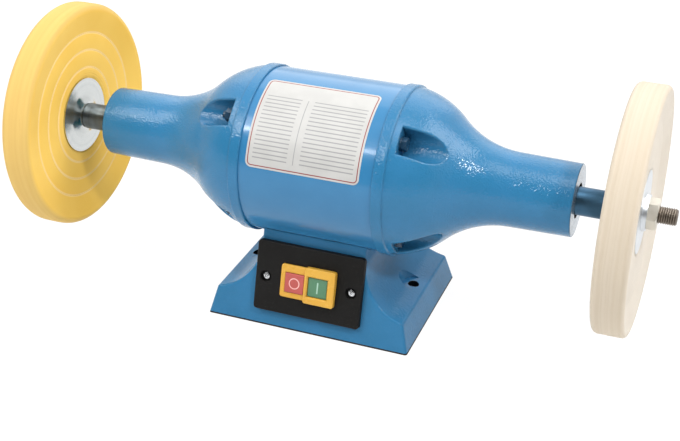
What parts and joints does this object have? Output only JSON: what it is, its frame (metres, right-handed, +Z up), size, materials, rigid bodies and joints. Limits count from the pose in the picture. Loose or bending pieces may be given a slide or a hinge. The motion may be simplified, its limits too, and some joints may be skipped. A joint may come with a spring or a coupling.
{
  "type": "bench polishing machine",
  "caption": "Bench polisher: blue cast motor with long-nosed end bells on a scooped foot, one through spindle, a sewn cotton wheel and a layered soft wheel, push-button switch.",
  "frame": {"origin": "middle of the foot's underside, on the bench", "axes": "+X along the spindle to the layered wheel, -Y to the switch side, +Z up"},
  "size_m": [0.5686, 0.2, 0.235],
  "materials": {
    "blue_enamel_casting": "gloss",
    "blue_enamel_tube": "gloss",
    "black_plate": "satin",
    "yellow_plastic": "gloss",
    "red_plastic": "gloss",
    "green_plastic": "gloss",
    "black_plastic": "matte",
    "grey_plastic": "matte",
    "zinc_steel": "polished",
    "dark_steel": "satin",
    "bearing_steel": "polished",
    "core_steel": "satin",
    "copper_winding": "satin",
    "cast_aluminium": "matte",
    "can_aluminium": "satin",
    "yellow_cotton": "matte",
    "cream_felt": "matte"
  },
  "bodies": {
    "frame": {"base": "blue_enamel_casting", "base_cover_plate": "zinc_steel", "base_cover_screws": "zinc_steel", "motor_barrel": "blue_enamel_tube", "saddle_studs": "zinc_steel", "saddle_washers": "zinc_steel", "saddle_nuts": "zinc_steel", "left_end_bell": "blue_enamel_casting", "right_end_bell": "blue_enamel_casting", "tie_bolts": "zinc_steel", "tie_bolt_nuts": "zinc_steel", "tie_bolt_washers": "zinc_steel", "stator_core": "core_steel", "stator_windings": "copper_winding", "wave_washer": "bearing_steel", "shim_washer": "bearing_steel", "switch_plate": "black_plate", "switch_plate_screws": "zinc_steel", "switch_bezel": "yellow_plastic", "stop_spring": "bearing_steel", "start_spring": "bearing_steel", "switch_body": "black_plastic", "capacitor": "can_aluminium", "capacitor_strap": "zinc_steel", "capacitor_strap_screws": "zinc_steel", "terminal_block": "grey_plastic", "cable_gland": "black_plastic", "cable_gland_nut": "black_plastic", "left_bearing_outer_ring": "bearing_steel", "left_bearing_shields": "bearing_steel", "right_bearing_outer_ring": "bearing_steel", "right_bearing_shields": "bearing_steel"},
    "spindle": {"spindle_shaft": "dark_steel", "rotor_core": "core_steel", "rotor_cage": "cast_aluminium", "left_wheel": "yellow_cotton", "right_wheel": "cream_felt", "left_bearing_inner_ring": "bearing_steel", "left_inner_flange": "zinc_steel", "left_outer_flange": "zinc_steel", "left_spindle_nut": "zinc_steel", "right_bearing_inner_ring": "bearing_steel", "right_inner_flange": "zinc_steel", "right_outer_flange": "zinc_steel", "right_spindle_nut": "zinc_steel"},
    "left_ball_set": {"left_bearing_balls": "bearing_steel", "left_bearing_cage": "bearing_steel"},
    "right_ball_set": {"right_bearing_balls": "bearing_steel", "right_bearing_cage": "bearing_steel"},
    "stop_button": {"stop_button": "red_plastic"},
    "start_button": {"start_button": "green_plastic"}
  },
  "joints": [
    {"name": "spindle_spin", "type": "hinge", "parent": "frame", "child": "spindle", "pos_m": [0, 0, 0.135], "axis": [1, 0, 0], "continuous": true},
    {"name": "left_ball_spin", "type": "hinge", "parent": "frame", "child": "left_ball_set", "pos_m": [0, 0, 0.135], "axis": [1, 0, 0], "continuous": true},
    {"name": "right_ball_spin", "type": "hinge", "parent": "frame", "child": "right_ball_set", "pos_m": [0, 0, 0.135], "axis": [1, 0, 0], "continuous": true},
    {"name": "stop_press", "type": "slide", "parent": "frame", "child": "stop_button", "axis": [0, 0.9659, -0.2588], "range_m": [0, 0.003], "stiffness_N_per_m": 400, "deforming": ["stop_spring"]},
    {"name": "start_press", "type": "slide", "parent": "frame", "child": "start_button", "axis": [0, 0.9659, -0.2588], "range_m": [0, 0.003], "stiffness_N_per_m": 400, "deforming": ["start_spring"]}
  ],
  "couplings": [
    {"joint": "left_ball_spin", "follows": "spindle_spin", "ratio": 0.40625},
    {"joint": "right_ball_spin", "follows": "spindle_spin", "ratio": 0.40625}
  ]
}
